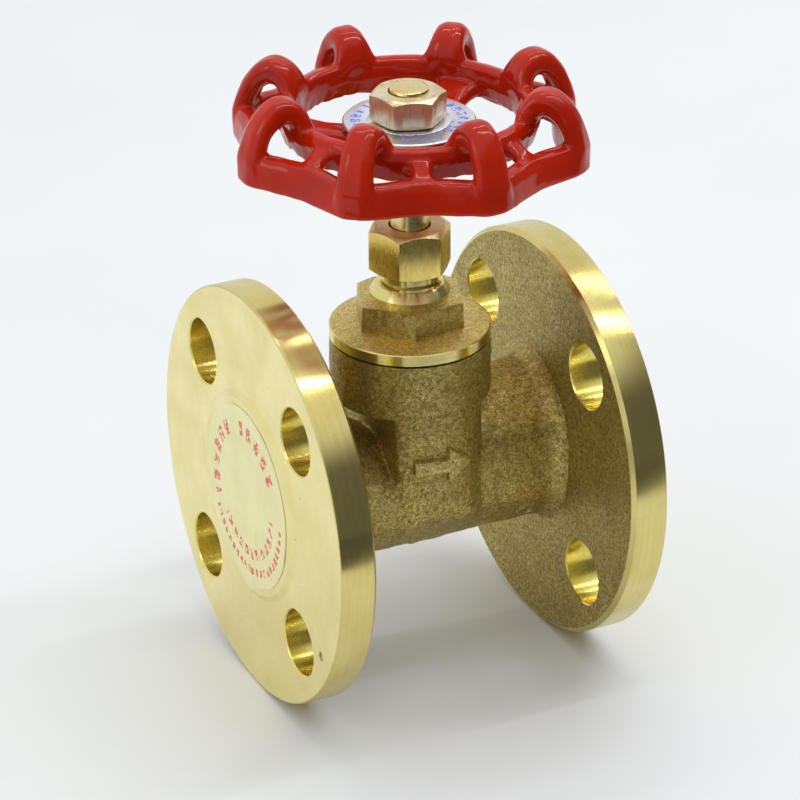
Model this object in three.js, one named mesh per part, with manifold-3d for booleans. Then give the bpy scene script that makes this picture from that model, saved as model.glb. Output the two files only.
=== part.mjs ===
// A DN15 bronze globe valve with two integral flanges, a screwed bonnet and a cast handwheel.
// Millimetres, +Z up. The flow runs along X, from the inlet (-X) to the outlet (+X), and the
// stem rises along Z. The valve stands on its two flange rims, so z = 0 is their lowest point.
// It is drawn closed: the disc is on its seat and the handwheel is at its lowest.

import * as THREE from 'three';
import { mergeVertices } from 'three/addons/utils/BufferGeometryUtils.js';
import Module from 'manifold-3d';

const wasm = await Module();
wasm.setup();

// ---------------------------------------------------------------- driving dimensions

const gap = 0.3; // clearance between pieces that touch on the real valve
const overlap = 0.5; // how far shapes of one casting run into each other before they are joined
const past = 1; // how far a cutter runs past the face that it opens
const fineSteps = 56; // facets round a large circle
const steps = 28; // facets round a small circle
const boreSteps = 24; // facets round a bore

// Flanges and flow ports
const faceToFace = 81;
const flangeRadius = 47.5;
const flangeThickness = 8.6;
const flangeChamfer = 0.6;
const raisedFaceRadius = 23.5;
const raisedFaceHeight = 0.9;
const portRadius = 7.5;
const boltCircleRadius = 35;
const boltHoleRadius = 7.5;
const boltHoles = 4;
const labelRadius = 21.2;
const labelThickness = 0.2;
const labelRecess = 0.05;
const faceX = faceToFace / 2;
const flangeFront = faceX - raisedFaceHeight;
const flangeBack = flangeFront - flangeThickness;

// Body casting: heights are measured from the flow axis
const barrelRadius = 18;
const barrelTop = 31.4;
const barrelLedge = 18.2;
const waistHalfWidth = 10.6;
const neckHalfWidth = 15;
const neckTop = 18;
const neckTopFlat = 5;
const neckShoulder = 7.8;
const neckBottomFlat = 7.5;
const flareRadius = 5;
const flareAngles = [0, 25, 50, 72];
const inletSaddleTop = 10;
const inletSaddleShoulder = 1.6;
const inletSaddleEnd = 22.3;
const waistSlopeTop = -6.8;

// Inside the body
const seatTop = 4;
const seatRadius = 6;
const seatRingRadius = 8;
const seatRingThickness = 3;
const seatEdge = 0.6;
const upperChamberRadius = 8.5;
const lowerChamberFloor = -14;
const portDepthEnd = 20; // where a straight port ends, from the stem's axis
const inletPassage = { from: [-25, 0], to: [0, -7.4] }; // [x, z] of the slanted passage's ends
const outletPassage = { from: [25, 0], to: [2, 11] };
const bonnetThreadRadius = 11.8;
const bonnetThreadBottom = 22.8;
const gasketInner = 12.6;
const gasketOuter = 16.4;
const gasketThickness = 1.5;

// Raised arrow on the front of the waist
const arrowHalfLength = 5.5;
const arrowHeadStart = 0.5;
const arrowShaftHalfWidth = 1.1;
const arrowHeadHalfWidth = 3;
const arrowHeight = 7;
const arrowRelief = 0.4;

// Bonnet
const bonnetRimThickness = 2.7;
const bonnetRimEdge = 0.3;
const bonnetDomeRadius = 13; // the disc rises as a low cone from its rim to here
const bonnetDomeHeight = 1.5;
const bonnetBottom = 23.6;
const bonnetHexTop = 40.9;
const bonnetHexRadius = 13.15;
const bonnetHexTopRadius = 12.6;
const bonnetHexTurn = 9.6;
const collarRadius = 8.95;
const collarTop = 42.5;
const coneRadius = 7.55;
const coneTop = 43.8;
const neckRadius = 6.45;
const stuffingRadius = 5.5;
const stuffingFloor = 42;
const stemThreadBoreTop = 34;
const glandThreadRadius = 6.9;
const glandThreadChamfer = 0.5;
const bonnetTop = 53.8;

// Stem
const stemRadius = 4.3;
const stemBoreRadius = 4.6;
const stemThreadRadius = 5.4;
const stemThreadBottom = 17;
const stemThreadTop = 28.4;
const stemNeckRadius = 3;
const stemButtonRadius = 4.4;
const stemButtonBottom = 10.9;
const stemButtonTop = 13.2;
const stemSquare = 6.8;
const stemEnd = 90.2;
const stemEndChamfer = 0.5;
const stemThreadChamfer = 1;

// Disc that closes on the seat
const discRadius = 7.7;
const discTop = 15.8;
const sealRadius = 6.9;
const sealThickness = 2.3;
const discEdge = 0.8;
const sealLip = 1; // how far the holder's wall hangs below the top of the seal
const discScrewRadius = 1.3;
const discScrewHeadRadius = 2.8;
const discScrewHeadHeight = 1.2;
const discScrewHeadEdge = 0.4;
const discScrewTop = 9.3;

// Packing and gland
const packingRings = 4;
const packingRingHeight = 1.9;
const packingWasherHeight = 0.8;
const glandFlangeTop = 55.7;
const glandFlangeThickness = 1.4;
const glandNutRadius = 9.4;
const glandNutBottom = 47.5;
const glandNutTop = 58;
const glandNutCeiling = 56;
const glandNutTurn = 50;
const glandNutChamfer = 1;
const nutChamferAngle = 35;

// Handwheel: eight arches stand on a rounded octagonal rim
const wheelArches = 8;
const wheelTurn = 1.1;
const rimCornerRadius = 41;
const rimMiddleRadius = 36.3;
const rimCornerBlunt = 2.4; // half-length of a corner's blunt face
const rimWall = 5;
const rimBottom = 75.4;
const rimTop = 83.2;
const archWidth = 8.4;
const archOutline = [ // [radius, height], up the outside, over the top and back along the window
  [35, rimBottom],
  [40.9, rimBottom],
  [40.4, 79],
  [39.6, 82.5],
  [38.6, 86],
  [36.9, 89.2],
  [34.6, 91.8],
  [31.8, 93.4],
  [28.4, 92.7],
  [25.6, 90.4],
  [24.2, 87.5],
  [24.8, 83],
  [28.2, 83],
  [28.6, 86],
  [30.6, 87.6],
  [32.8, 86.6],
  [34.2, 83.5],
  [35, 79],
];
const webWidth = 5.2;
const webOutline = [[26.5, 82.5], [34, 79.8], [34, 83], [26.5, 86.4]]; // [radius, height]
const innerRingBottom = 79.8;
const innerRingTop = 87;
const innerRingRadius = 24.4;
const hubRadius = 9.5;
const hubBottom = 73;
const hubTop = 81.6;
const spokes = 3;
const spokeTurn = 37;
const spokeWidth = 8;
const spokeBottom = 77;
const spokeOuterTop = 83.6;
const spokeInnerTop = 82;
const nameplateRadius = 14.5;
const nameplateThickness = 0.8;
const stemNutRadius = 8.45;
const stemNutBottom = 83;
const stemNutTop = 89.4;
const stemNutTurn = 42;
const stemNutChamfer = 0.8;

// ---------------------------------------------------------------- shape helpers

const radians = THREE.MathUtils.degToRad;

// Keeps only positions, shares the vertices and drops triangles with no area.
function weld(geometry) {
  geometry.deleteAttribute('normal');
  geometry.deleteAttribute('uv');
  const merged = mergeVertices(geometry, 1e-4);
  const corners = [...merged.index.array];
  const kept = [];
  for (let i = 0; i < corners.length; i += 3) {
    const [a, b, c] = corners.slice(i, i + 3);
    if (a !== b && b !== c && c !== a) kept.push(a, b, c);
  }
  merged.setIndex(kept);
  return merged;
}

function signedVolume(geometry) {
  const position = geometry.attributes.position;
  const corners = geometry.index.array;
  const [a, b, c] = [new THREE.Vector3(), new THREE.Vector3(), new THREE.Vector3()];
  let volume = 0;
  for (let i = 0; i < corners.length; i += 3) {
    a.fromBufferAttribute(position, corners[i]);
    b.fromBufferAttribute(position, corners[i + 1]);
    c.fromBufferAttribute(position, corners[i + 2]);
    volume += a.dot(b.cross(c)) / 6;
  }
  return volume;
}

// Turns a closed geometry into a solid whose faces point out.
function solid(geometry) {
  const welded = weld(geometry);
  if (signedVolume(welded) < 0) welded.setIndex([...welded.index.array].reverse());
  return new wasm.Manifold(new wasm.Mesh({
    numProp: 3,
    vertProperties: new Float32Array(welded.attributes.position.array),
    triVerts: new Uint32Array(welded.index.array),
  }));
}

function geometryOf(body) {
  const mesh = body.getMesh();
  const geometry = new THREE.BufferGeometry();
  geometry.setAttribute('position', new THREE.BufferAttribute(mesh.vertProperties, 3));
  geometry.setIndex([...mesh.triVerts]);
  return geometry;
}

const join = (bodies) => bodies.reduce((whole, next) => whole.add(next));
const cut = (body, cutters) => cutters.reduce((whole, next) => whole.subtract(next), body);

// Revolves an [radius, height] outline about Z; an outline off the axis closes on itself.
function turned(outline, facets = steps) {
  const onAxis = outline[0][0] === 0;
  const loop = onAxis ? outline : [...outline, outline[0]];
  const points = loop.map(([radius, height]) => new THREE.Vector2(radius, height));
  return new THREE.LatheGeometry(points, facets).rotateX(Math.PI / 2);
}

function cylinder(radius, bottom, top, facets = steps) {
  return turned([[0, bottom], [radius, bottom], [radius, top], [0, top]], facets);
}

function ring(inner, outer, bottom, top, facets = steps) {
  return turned([[inner, bottom], [outer, bottom], [outer, top], [inner, top]], facets);
}

function box(xRange, yRange, zRange) {
  const size = [xRange, yRange, zRange].map(([low, high]) => high - low);
  const middle = [xRange, yRange, zRange].map(([low, high]) => (low + high) / 2);
  return new THREE.BoxGeometry(...size).translate(...middle);
}

// Joins a row of convex outlines, each with the same number of points, into a closed skin.
function loft(sections) {
  const count = sections[0].length;
  const positions = sections.flat().flatMap((point) => point.toArray());
  const index = [];
  for (let s = 0; s + 1 < sections.length; s += 1) {
    for (let i = 0; i < count; i += 1) {
      const a = s * count + i;
      const b = s * count + (i + 1) % count;
      index.push(a, b, b + count, a, b + count, a + count);
    }
  }
  const last = (sections.length - 1) * count;
  for (let i = 1; i + 1 < count; i += 1) {
    index.push(0, i + 1, i, last, last + i, last + i + 1);
  }
  const geometry = new THREE.BufferGeometry();
  geometry.setAttribute('position', new THREE.Float32BufferAttribute(positions, 3));
  geometry.setIndex(index);
  return geometry;
}

function hexagonAt(radius, height, turn) {
  return [0, 1, 2, 3, 4, 5].map((corner) => {
    const angle = radians(turn + corner * 60);
    return new THREE.Vector3(radius * Math.cos(angle), radius * Math.sin(angle), height);
  });
}

function hexagon(bottomRadius, topRadius, bottom, top, turn) {
  return loft([hexagonAt(bottomRadius, bottom, turn), hexagonAt(topRadius, top, turn)]);
}

// A hexagon nut blank with both ends chamfered to a circle.
function nutBlank(cornerRadius, bottom, top, turn, chamfer) {
  const flat = cornerRadius - chamfer;
  const rise = chamfer * Math.tan(radians(nutChamferAngle));
  const chamfered = turned([
    [0, bottom],
    [flat, bottom],
    [cornerRadius + chamfer, bottom + 2 * rise],
    [cornerRadius + chamfer, top - 2 * rise],
    [flat, top],
    [0, top],
  ], fineSteps);
  return solid(hexagon(cornerRadius, cornerRadius, bottom, top, turn)).intersect(solid(chamfered));
}

// Turns a geometry made about Z to lie along X, its top towards the outlet.
const alongX = (geometry) => geometry.rotateY(Math.PI / 2);
const aroundZ = (geometry, degrees) => geometry.rotateZ(radians(degrees));

// A round bore between two points.
function bore(radius, from, to) {
  const length = from.distanceTo(to);
  const upright = cylinder(radius, 0, length, boreSteps);
  const direction = to.clone().sub(from).normalize();
  const turn = new THREE.Quaternion().setFromUnitVectors(new THREE.Vector3(0, 0, 1), direction);
  return upright.applyQuaternion(turn).translate(from.x, from.y, from.z);
}

// ---------------------------------------------------------------- body casting

// One flange, drawn about Z with its raised face up and its middle on the flow axis.
function flangeBlank() {
  return turned([
    [0, flangeBack],
    [flangeRadius - flangeChamfer, flangeBack],
    [flangeRadius, flangeBack + flangeChamfer],
    [flangeRadius, flangeFront - flangeChamfer],
    [flangeRadius - flangeChamfer, flangeFront],
    [raisedFaceRadius, flangeFront],
    [raisedFaceRadius, faceX],
    [labelRadius + gap, faceX],
    [labelRadius + gap, faceX - labelRecess],
    [0, faceX - labelRecess],
  ], fineSteps);
}

// A neck outline across the flow: flat on top, sloped shoulders, flat sides and sloped below.
function neckOutline(x, top, shoulder, grow) {
  const side = neckHalfWidth + grow;
  const half = [
    [neckTopFlat + grow / 2, top + grow],
    [side, shoulder + grow / 3],
    [side, -neckShoulder - grow / 3],
    [neckBottomFlat + grow / 3, -neckTop - grow],
  ];
  const mirrored = half.slice().reverse().map(([y, z]) => [-y, z]);
  return [...half, ...mirrored].map(([y, z]) => new THREE.Vector3(x, y, z));
}

// Sections that flare a neck into its flange with a rounded corner.
function flare(side, top, shoulder) {
  return flareAngles.map(radians).map((angle) => {
    const x = flangeBack + overlap - flareRadius * (1 - Math.sin(angle));
    return neckOutline(side * x, top, shoulder, flareRadius * (1 - Math.cos(angle)));
  });
}

function outletNeck() {
  return loft([neckOutline(0, neckTop, neckShoulder, 0), ...flare(1, neckTop, neckShoulder)]);
}

function inletNeck() {
  return loft([
    neckOutline(0, inletSaddleTop, inletSaddleShoulder, 0),
    neckOutline(-waistHalfWidth, inletSaddleTop, inletSaddleShoulder, 0),
    neckOutline(-inletSaddleEnd, neckTop, neckShoulder, 0),
    ...flare(-1, neckTop, neckShoulder),
  ]);
}

// The waist below the barrel: narrower along the flow, round at the front and sloped below.
function waist() {
  const top = barrelLedge + overlap;
  const wide = barrelRadius + past;
  const column = solid(cylinder(barrelRadius, -neckTop, top, fineSteps));
  const slab = box([-waistHalfWidth, waistHalfWidth], [-wide, wide], [-neckTop, top]);
  const slope = [[wide, top + past], [wide, waistSlopeTop], [neckBottomFlat, -neckTop]];
  const outline = [...slope, ...slope.slice().reverse().map(([y, z]) => [-y, z])];
  const ends = [-wide, wide].map((x) => outline.map(([y, z]) => new THREE.Vector3(x, y, z)));
  return column.intersect(solid(slab)).intersect(solid(loft(ends)));
}

// The passage dips under the seat from the inlet and leaves above it to the outlet.
function passages() {
  const at = ([x, z]) => new THREE.Vector3(x, 0, z);
  return [
    bore(portRadius, at([-faceX - past, 0]), at([-portDepthEnd, 0])),
    bore(portRadius, at([portDepthEnd, 0]), at([faceX + past, 0])),
    bore(seatRadius, at(inletPassage.from), at(inletPassage.to)),
    bore(seatRadius, at(outletPassage.from), at(outletPassage.to)),
    cylinder(seatRadius, lowerChamberFloor, seatTop),
    cylinder(seatRingRadius + gap / 2, seatTop - seatRingThickness - gap, seatTop + past),
    cylinder(upperChamberRadius, seatTop, barrelTop),
    cylinder(bonnetThreadRadius + gap, bonnetThreadBottom, barrelTop + past),
    ring(gasketInner - gap, gasketOuter + gap, barrelTop - gasketThickness, barrelTop + past),
  ].map(solid);
}

function boltHoleCutters() {
  const cutters = [];
  for (let hole = 0; hole < boltHoles; hole += 1) {
    const angle = radians(45 + hole * 360 / boltHoles);
    const y = boltCircleRadius * Math.cos(angle);
    const z = boltCircleRadius * Math.sin(angle);
    for (const side of [-1, 1]) {
      const start = new THREE.Vector3(side * (flangeBack - past), y, z);
      const end = new THREE.Vector3(side * (faceX + past), y, z);
      cutters.push(solid(bore(boltHoleRadius, start, end)));
    }
  }
  return cutters;
}

// A raised arrow on the front of the waist points from the inlet to the outlet.
function flowArrow() {
  const arrow = new THREE.Shape([
    [-arrowHalfLength, -arrowShaftHalfWidth],
    [arrowHeadStart, -arrowShaftHalfWidth],
    [arrowHeadStart, -arrowHeadHalfWidth],
    [arrowHalfLength, 0],
    [arrowHeadStart, arrowHeadHalfWidth],
    [arrowHeadStart, arrowShaftHalfWidth],
    [-arrowHalfLength, arrowShaftHalfWidth],
  ].map(([x, z]) => new THREE.Vector2(x, z)));
  const depth = barrelRadius / 4;
  const plate = new THREE.ExtrudeGeometry(arrow, { depth, bevelEnabled: false });
  plate.rotateX(Math.PI / 2).translate(0, depth / 2 - barrelRadius, arrowHeight);
  const skin = cylinder(barrelRadius + arrowRelief, 0, 2 * arrowHeight, fineSteps);
  return solid(plate).intersect(solid(skin));
}

function bodyCasting() {
  const outside = join([
    solid(alongX(flangeBlank())),
    solid(alongX(flangeBlank()).rotateZ(Math.PI)),
    solid(outletNeck()),
    solid(inletNeck()),
    waist(),
    flowArrow(),
    solid(cylinder(barrelRadius, barrelLedge, barrelTop, fineSteps)),
  ]);
  return geometryOf(cut(outside, [...passages(), ...boltHoleCutters()]));
}

function seatRing() {
  const bottom = seatTop - seatRingThickness;
  return turned([
    [seatRadius + gap / 2, bottom],
    [seatRingRadius - gap / 2, bottom],
    [seatRingRadius - gap / 2, seatTop - seatEdge],
    [seatRingRadius - gap / 2 - seatEdge, seatTop],
    [seatRadius + gap / 2, seatTop],
  ]);
}

function portLabel() {
  return ring(0, labelRadius, 0, 1).scale(1, 1, labelThickness);
}

// ---------------------------------------------------------------- bonnet and gland

function bonnetGasket() {
  const bottom = barrelTop - gasketThickness + gap;
  return ring(gasketInner, gasketOuter, bottom, barrelTop);
}

function bonnet() {
  const rimBase = barrelTop + gap;
  const rimFace = rimBase + bonnetRimThickness;
  const shell = join([
    solid(cylinder(bonnetThreadRadius, bonnetBottom, rimBase + overlap)),
    solid(turned([
      [0, rimBase],
      [barrelRadius - bonnetRimEdge, rimBase],
      [barrelRadius, rimBase + bonnetRimEdge],
      [barrelRadius, rimFace - bonnetRimEdge],
      [barrelRadius - bonnetRimEdge, rimFace],
      [bonnetDomeRadius, rimFace + bonnetDomeHeight],
      [0, rimFace + bonnetDomeHeight],
    ], fineSteps)),
    solid(hexagon(
      bonnetHexRadius, bonnetHexTopRadius, rimFace - overlap, bonnetHexTop, bonnetHexTurn,
    )),
    solid(turned([
      [0, bonnetHexTop - overlap],
      [collarRadius, bonnetHexTop - overlap],
      [collarRadius, collarTop],
      [coneRadius, coneTop],
      [neckRadius, coneTop],
      [neckRadius, glandNutBottom + gap],
      [glandThreadRadius, glandNutBottom + gap + glandThreadChamfer],
      [glandThreadRadius, bonnetTop],
      [0, bonnetTop],
    ])),
  ]);
  return geometryOf(cut(shell, [
    solid(cylinder(stemThreadRadius + gap, bonnetBottom - past, stemThreadBoreTop)),
    solid(cylinder(stemBoreRadius, bonnetBottom, bonnetTop)),
    solid(cylinder(stuffingRadius, stuffingFloor, bonnetTop + past)),
  ]));
}

const packingBase = stuffingFloor + packingWasherHeight + 2 * gap;
const packingBottom = (layer) => packingBase + layer * (packingRingHeight + gap);

function packingWasher() {
  const bottom = stuffingFloor + gap;
  return ring(stemBoreRadius, stuffingRadius - gap / 2, bottom, bottom + packingWasherHeight);
}

function packingRing() {
  return ring(stemRadius + gap / 2, stuffingRadius - gap / 2, 0, packingRingHeight);
}

function glandFollower() {
  const skirtBottom = packingBottom(packingRings);
  const flangeBottom = glandFlangeTop - glandFlangeThickness;
  return turned([
    [stemBoreRadius, skirtBottom],
    [stuffingRadius - gap, skirtBottom],
    [stuffingRadius - gap, flangeBottom],
    [glandThreadRadius, flangeBottom],
    [glandThreadRadius, glandFlangeTop],
    [stemBoreRadius, glandFlangeTop],
  ]);
}

function glandNut() {
  const blank = nutBlank(
    glandNutRadius, glandNutBottom, glandNutTop, glandNutTurn, glandNutChamfer,
  );
  return geometryOf(cut(blank, [
    solid(cylinder(glandThreadRadius + gap, glandNutBottom - past, glandNutCeiling)),
    solid(cylinder(stemBoreRadius, glandNutBottom, glandNutTop + past)),
  ]));
}

// ---------------------------------------------------------------- stem and disc

// A square column with its corners turned to the stem's radius fits the handwheel.
function stem() {
  const squareBottom = hubBottom - overlap;
  const below = turned([
    [0, stemButtonBottom],
    [stemButtonRadius, stemButtonBottom],
    [stemButtonRadius, stemButtonTop],
    [stemNeckRadius, stemButtonTop],
    [stemNeckRadius, stemThreadBottom],
    [stemThreadRadius, stemThreadBottom],
    [stemThreadRadius, stemThreadTop - stemThreadChamfer],
    [stemRadius, stemThreadTop],
    [stemRadius, squareBottom],
    [0, squareBottom],
  ]);
  const half = stemSquare / 2;
  const length = [squareBottom - overlap, hubTop + overlap / 2];
  const square = box([-half, half], [-half, half], length);
  const corners = cylinder(stemRadius, ...length);
  const end = turned([
    [0, hubTop],
    [stemRadius - stemEndChamfer, hubTop],
    [stemRadius, hubTop + stemEndChamfer],
    [stemRadius, stemEnd - stemEndChamfer],
    [stemRadius - stemEndChamfer, stemEnd],
    [0, stemEnd],
  ]);
  return geometryOf(join([solid(below), solid(square).intersect(solid(corners)), solid(end)]));
}

const sealBottom = seatTop + gap;
const sealCeiling = sealBottom + sealThickness + gap;

// The disc hangs on the stem's button, which slides into it through a slot from one side.
function discHolder() {
  const slotEnd = discRadius + past;
  const buttonWidth = stemButtonRadius + gap;
  const neckWidth = stemNeckRadius + gap;
  const blank = turned([
    [0, sealCeiling],
    [sealRadius + gap, sealCeiling],
    [sealRadius + gap, sealCeiling - gap - sealLip],
    [discRadius, sealCeiling - gap - sealLip],
    [discRadius, discTop - discEdge],
    [discRadius - discEdge, discTop],
    [0, discTop],
  ]);
  const pocket = [stemButtonBottom - gap, stemButtonTop + gap];
  return geometryOf(cut(solid(blank), [
    solid(cylinder(buttonWidth, ...pocket)),
    solid(box([0, slotEnd], [-buttonWidth, buttonWidth], pocket)),
    solid(cylinder(neckWidth, pocket[0], discTop + past)),
    solid(box([0, slotEnd], [-neckWidth, neckWidth], [pocket[1] - overlap, discTop + past])),
    solid(cylinder(discScrewRadius + gap, sealCeiling - past, discScrewTop + gap)),
  ]));
}

function discSeal() {
  return ring(discScrewRadius + gap, sealRadius, sealBottom, sealBottom + sealThickness);
}

function discScrew() {
  const headTop = sealBottom - gap;
  const headBottom = headTop - discScrewHeadHeight;
  return turned([
    [0, headBottom],
    [discScrewHeadRadius - discScrewHeadEdge, headBottom],
    [discScrewHeadRadius, headBottom + discScrewHeadEdge],
    [discScrewHeadRadius, headTop],
    [discScrewRadius, headTop],
    [discScrewRadius, discScrewTop],
    [0, discScrewTop],
  ]);
}

// ---------------------------------------------------------------- handwheel

// The rim is an octagon with blunt corners at the arches and slightly hollow sides.
function rimRadius(angle) {
  const sector = 2 * Math.PI / wheelArches;
  const offCorner = Math.abs(angle - sector * Math.round(angle / sector));
  const alongSide = Math.max(offCorner, rimCornerBlunt / rimCornerRadius);
  const chord = rimCornerRadius * Math.cos(sector / 2);
  const hollow = (chord - rimMiddleRadius) * Math.sin(Math.PI * offCorner / sector) ** 2;
  return chord / Math.cos(sector / 2 - alongSide) - hollow;
}

function rimOutline(inset) {
  const points = [];
  for (let i = 0; i < fineSteps; i += 1) {
    const angle = i * 2 * Math.PI / fineSteps;
    const radius = rimRadius(angle) - inset;
    points.push(new THREE.Vector2(radius * Math.cos(angle), radius * Math.sin(angle)));
  }
  return points;
}

function rim() {
  const outline = new THREE.Shape(rimOutline(0));
  outline.holes.push(new THREE.Path(rimOutline(rimWall)));
  const depth = rimTop - rimBottom;
  return new THREE.ExtrudeGeometry(outline, { depth, bevelEnabled: false })
    .translate(0, 0, rimBottom);
}

function innerRing() {
  return turned([
    [innerRingRadius, innerRingBottom],
    [innerRingRadius + 3, innerRingBottom],
    [innerRingRadius + 4.2, innerRingTop - 1.4],
    [innerRingRadius + 3, innerRingTop],
    [innerRingRadius + 0.8, innerRingTop],
  ], fineSteps);
}

// An upright piece of the wheel: an outline of [radius, height] as wide as `width`.
function uprightPiece(outline, width) {
  const shape = new THREE.Shape(outline.map(([radius, z]) => new THREE.Vector2(radius, z)));
  return new THREE.ExtrudeGeometry(shape, { depth: width, bevelEnabled: false })
    .translate(0, 0, -width / 2)
    .rotateX(Math.PI / 2);
}

// A spoke rises slightly from the hub to the inner ring.
function spoke() {
  const inner = hubRadius - 2 * overlap;
  const outer = innerRingRadius + 3 * overlap;
  const knee = (inner + outer) / 2;
  return uprightPiece([
    [inner, spokeBottom],
    [outer, innerRingBottom],
    [outer, spokeOuterTop],
    [knee, spokeInnerTop],
    [inner, hubTop],
  ], spokeWidth);
}

// Each arch bridges from a corner of the rim up over a window and down to the inner ring, and
// a web closes the rim to the ring between two windows.
function handwheel() {
  const pieces = [rim(), innerRing(), cylinder(hubRadius, hubBottom, hubTop)];
  for (let i = 0; i < wheelArches; i += 1) {
    const turn = i * 360 / wheelArches;
    pieces.push(aroundZ(uprightPiece(archOutline, archWidth), turn));
    pieces.push(aroundZ(uprightPiece(webOutline, webWidth), turn + 180 / wheelArches));
  }
  for (let i = 0; i < spokes; i += 1) {
    pieces.push(aroundZ(spoke(), spokeTurn - wheelTurn + i * 360 / spokes));
  }
  const half = stemSquare / 2 + gap / 2;
  const flats = box([-half, half], [-half, half], [hubBottom - past, hubTop + past]);
  const socket = aroundZ(flats, -wheelTurn);
  const clearance = cylinder(stemRadius + gap, hubBottom - past, hubTop + past);
  const hole = solid(socket).intersect(solid(clearance));
  return geometryOf(join(pieces.map(solid)).subtract(hole));
}

function nameplate() {
  const bottom = hubTop + gap;
  return ring(stemRadius + gap, nameplateRadius, bottom, bottom + nameplateThickness, fineSteps);
}

function stemNut() {
  const blank = nutBlank(stemNutRadius, stemNutBottom, stemNutTop, stemNutTurn, stemNutChamfer);
  const hole = cylinder(stemRadius + gap / 2, stemNutBottom - past, stemNutTop + past);
  return geometryOf(cut(blank, [solid(hole)]));
}

// ---------------------------------------------------------------- assembly

const castBronze = { color: 0x7d6a3a, roughness: 0.6, metalness: 0.9 };
const turnedBrass = { color: 0xcfc08a, roughness: 0.28, metalness: 1 };
const nutBrass = { color: 0xc4ac72, roughness: 0.3, metalness: 1 };
const redEnamel = { color: 0xb3200f, roughness: 0.2, metalness: 0 };
const aluminium = { color: 0xc9cacd, roughness: 0.35, metalness: 1 };
const steel = { color: 0x9a9a98, roughness: 0.4, metalness: 1 };
const fibre = { color: 0x7b3e2b, roughness: 0.8, metalness: 0 };
const whitePlastic = { color: 0xe8e6df, roughness: 0.5, metalness: 0 };
const creamPaper = { color: 0xe6dfb4, roughness: 0.6, metalness: 0 };

const valve = new THREE.Group();
valve.position.z = flangeRadius;

function place(name, geometry, look) {
  const mesh = new THREE.Mesh(geometry, new THREE.MeshStandardMaterial(look));
  mesh.name = name;
  valve.add(mesh);
  return mesh;
}

place('body', bodyCasting(), castBronze);
place('seat_ring', seatRing(), turnedBrass);
place('bonnet_gasket', bonnetGasket(), fibre);
place('bonnet', bonnet(), castBronze);
place('packing_washer', packingWasher(), nutBrass);
for (let layer = 0; layer < packingRings; layer += 1) {
  const packing = place(`packing_ring_${layer + 1}`, packingRing(), whitePlastic);
  packing.position.z = packingBottom(layer);
}
place('gland_follower', glandFollower(), nutBrass);
place('gland_nut', glandNut(), nutBrass);
place('stem', stem(), nutBrass);
place('disc_holder', discHolder(), turnedBrass);
place('disc_seal', discSeal(), whitePlastic);
place('disc_screw', discScrew(), steel);
place('handwheel', handwheel(), redEnamel).rotation.z = radians(wheelTurn);
place('nameplate', nameplate(), aluminium);
place('stem_nut', stemNut(), nutBrass);

const label = place('inlet_label', portLabel(), creamPaper);
label.rotation.y = -Math.PI / 2;
label.position.x = -faceX + labelRecess / 2;

const globeValve = new THREE.Group();
globeValve.add(valve);

export default globeValve;
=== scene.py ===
"""A flanged bronze globe valve on a pale studio floor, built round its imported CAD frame.

Shapes are worked out in millimetres with heights measured from the flow axis, and become
metres in the frame when a mesh is made. The flow runs along X and the stem along Z.
"""

import math

import bmesh
import bpy
from mathutils import Matrix, Vector, noise

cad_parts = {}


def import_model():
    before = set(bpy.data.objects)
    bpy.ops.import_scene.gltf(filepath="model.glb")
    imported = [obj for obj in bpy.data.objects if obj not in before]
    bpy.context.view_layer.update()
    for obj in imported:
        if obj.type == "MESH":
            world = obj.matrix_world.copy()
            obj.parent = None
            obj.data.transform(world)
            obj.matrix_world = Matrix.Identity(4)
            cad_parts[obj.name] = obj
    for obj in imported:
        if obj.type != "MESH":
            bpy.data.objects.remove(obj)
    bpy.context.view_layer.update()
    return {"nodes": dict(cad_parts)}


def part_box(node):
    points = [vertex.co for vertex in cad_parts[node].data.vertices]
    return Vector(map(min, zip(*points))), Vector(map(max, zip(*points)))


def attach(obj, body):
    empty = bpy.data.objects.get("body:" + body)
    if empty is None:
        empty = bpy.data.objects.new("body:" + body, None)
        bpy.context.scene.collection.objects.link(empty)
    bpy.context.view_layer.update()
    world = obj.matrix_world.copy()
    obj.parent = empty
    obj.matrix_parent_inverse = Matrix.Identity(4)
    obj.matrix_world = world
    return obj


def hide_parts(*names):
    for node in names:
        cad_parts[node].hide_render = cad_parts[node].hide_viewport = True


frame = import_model()

# ---- driving sizes

MM = 0.001
body_low, body_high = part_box("body")
AXIS = (body_low.z + body_high.z) / 2  # height of the flow axis in the frame, metres
FLANGE_R = body_high.y / MM
FACE_X = body_high.x / MM


def reach(node):
    """Largest half-width of a CAD node across the stem, millimetres."""
    low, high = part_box(node)
    return max(high.x, high.y, -low.x, -low.y) / MM


def bottom(node):
    return (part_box(node)[0].z - AXIS) / MM


def top(node):
    return (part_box(node)[1].z - AXIS) / MM


# Flanges
FLANGE_EDGE = 1.05
RAISED_FACE_R = 23.5
RAISED_FACE = 0.9
FLANGE_THICK = 8.6
FLANGE_FRONT = FACE_X - RAISED_FACE
FLANGE_BACK = FLANGE_FRONT - FLANGE_THICK
PORT_R = 7.5
LABEL_R = 21.2
BOLT_HOLES = 4
BOLT_CIRCLE_R = 35.0
BOLT_R = 7.5
BOLT_EDGE = 0.3
NICK_PLACE = (-36.3, -22.2)

# Body casting
BARREL_R = 18.0
BARREL_LEDGE = 18.2
BARREL_TOP = 31.4
WAIST_HALF = 10.5
NECK_HALF = 15.0
NECK_TOP = 18.0
NECK_TOP_FLAT = 5.4
NECK_SHOULDER = 7.8
NECK_BOTTOM_FLAT = 8.0
SADDLE_TOP = 10
SADDLE_SHOULDER = 1.6
SADDLE_END = 22.3
FLARE_R = 5.0
FLARE_LAP = 0.6
SEAM_HEIGHT = 19.4
ARROW_HEIGHT = 7
ARROW_RELIEF = 1.3

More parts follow.
